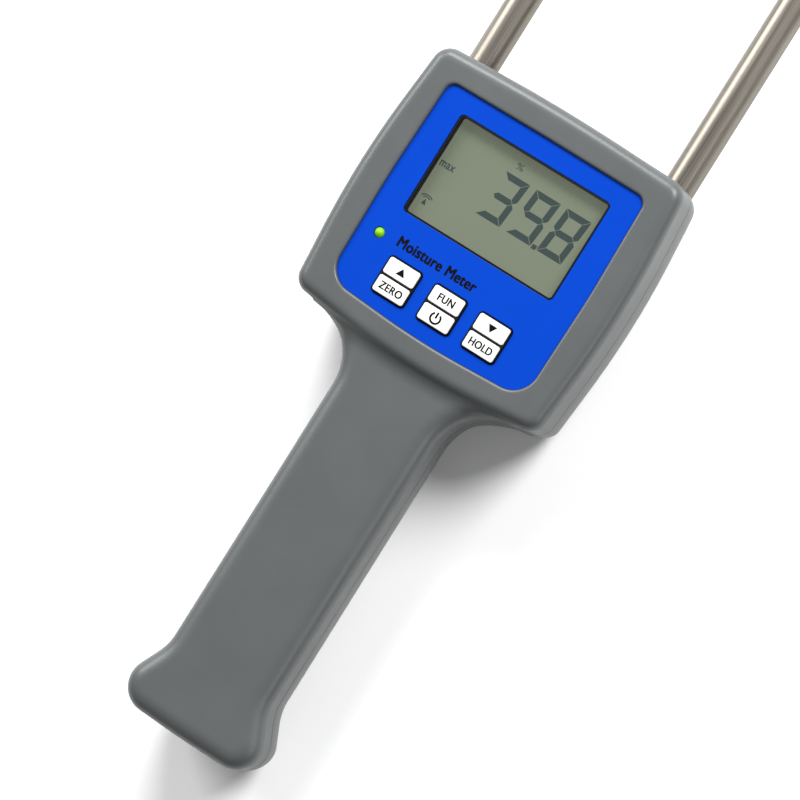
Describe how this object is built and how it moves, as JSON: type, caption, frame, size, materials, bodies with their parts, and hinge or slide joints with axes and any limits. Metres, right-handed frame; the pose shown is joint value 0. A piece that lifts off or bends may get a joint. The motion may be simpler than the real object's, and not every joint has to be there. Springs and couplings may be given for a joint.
{
  "type": "grain moisture meter",
  "caption": "Hand-held grain moisture meter: flat head with display and keys on a straight handle, and two long steel probe rods.",
  "frame": {"origin": "middle of the head's flat back, the face the meter lies on", "axes": "+Z out of the display, +Y along the probe rods towards their tips, +X to the display's right"},
  "size_m": [0.0748, 0.4579, 0.031],
  "materials": {
    "case_plastic": "satin moulded grey",
    "blue_label": "satin printed film",
    "black_rubber": "matt",
    "clear_window": "polished clear acrylic",
    "lcd_glass": "grey-green liquid crystal glass",
    "white_plastic": "satin",
    "green_lens": "tinted lens",
    "key_caps": "satin white pads in black surrounds",
    "black_plastic": "satin",
    "circuit_board": "solder mask green",
    "rod_steel": "drawn stainless tube",
    "plated_steel": "nickel plated",
    "brass": "bare",
    "lead_red": "wire sleeve",
    "lead_black": "wire sleeve",
    "cell_can": "printed cell sleeve"
  },
  "bodies": {
    "meter": {"battery_lead_left": "lead_black", "battery_lead_right": "lead_red", "board_screw_lower_left": "plated_steel", "board_screw_lower_right": "plated_steel", "board_screw_upper_left": "plated_steel", "board_screw_upper_right": "plated_steel", "buzzer": "black_plastic", "case_screw_lower_left": "plated_steel", "case_screw_lower_right": "plated_steel", "case_screw_upper_left": "plated_steel", "case_screw_upper_right": "plated_steel", "cell_lower_left": "cell_can", "cell_lower_right": "cell_can", "cell_upper_left": "cell_can", "cell_upper_right": "cell_can", "contact_jumper": "plated_steel", "contact_negative": "plated_steel", "contact_positive": "plated_steel", "controller_chip": "black_plastic", "display_window": "clear_window", "elastomer_strip_lower": "black_rubber", "elastomer_strip_upper": "black_rubber", "face_label": "blue_label", "front_cover": "case_plastic", "lcd_frame": "white_plastic", "lcd_front_glass": "lcd_glass", "lcd_rear_glass": "lcd_glass", "lug_screw_left": "plated_steel", "lug_screw_right": "plated_steel", "main_board": "circuit_board", "probe_bush_left": "black_plastic", "probe_bush_right": "black_plastic", "probe_lead_left": "lead_black", "probe_lead_right": "lead_red", "probe_rod_left": "rod_steel", "probe_rod_right": "rod_steel", "probe_tip_left": "rod_steel", "probe_tip_right": "rod_steel", "quartz_crystal": "plated_steel", "rear_cover": "case_plastic", "rod_end_plug_left": "brass", "rod_end_plug_right": "brass", "solder_lug_left": "brass", "solder_lug_right": "brass", "spring_jumper": "plated_steel", "spring_negative": "plated_steel", "status_led": "green_lens", "switch_down_hold": "black_plastic", "switch_function_power": "black_plastic", "switch_up_zero": "black_plastic", "window_gasket": "black_rubber"},
    "key_up_zero": {"key_up_zero": "key_caps", "plunger_up_zero": "black_plastic"},
    "key_function_power": {"key_function_power": "key_caps", "plunger_function_power": "black_plastic"},
    "key_down_hold": {"key_down_hold": "key_caps", "plunger_down_hold": "black_plastic"},
    "battery_door": {"battery_door": "case_plastic"}
  },
  "joints": [
    {"name": "press_up_zero", "type": "slide", "parent": "meter", "child": "key_up_zero", "axis": [0, 0, -1], "range_m": [0, 0.0005], "stiffness_N_per_m": 2000},
    {"name": "press_function_power", "type": "slide", "parent": "meter", "child": "key_function_power", "axis": [0, 0, -1], "range_m": [0, 0.0005], "stiffness_N_per_m": 2000},
    {"name": "press_down_hold", "type": "slide", "parent": "meter", "child": "key_down_hold", "axis": [0, 0, -1], "range_m": [0, 0.0005], "stiffness_N_per_m": 2000},
    {"name": "battery_door_slide", "type": "slide", "parent": "meter", "child": "battery_door", "axis": [0, -1, 0], "range_m": [0, 0.08]}
  ]
}
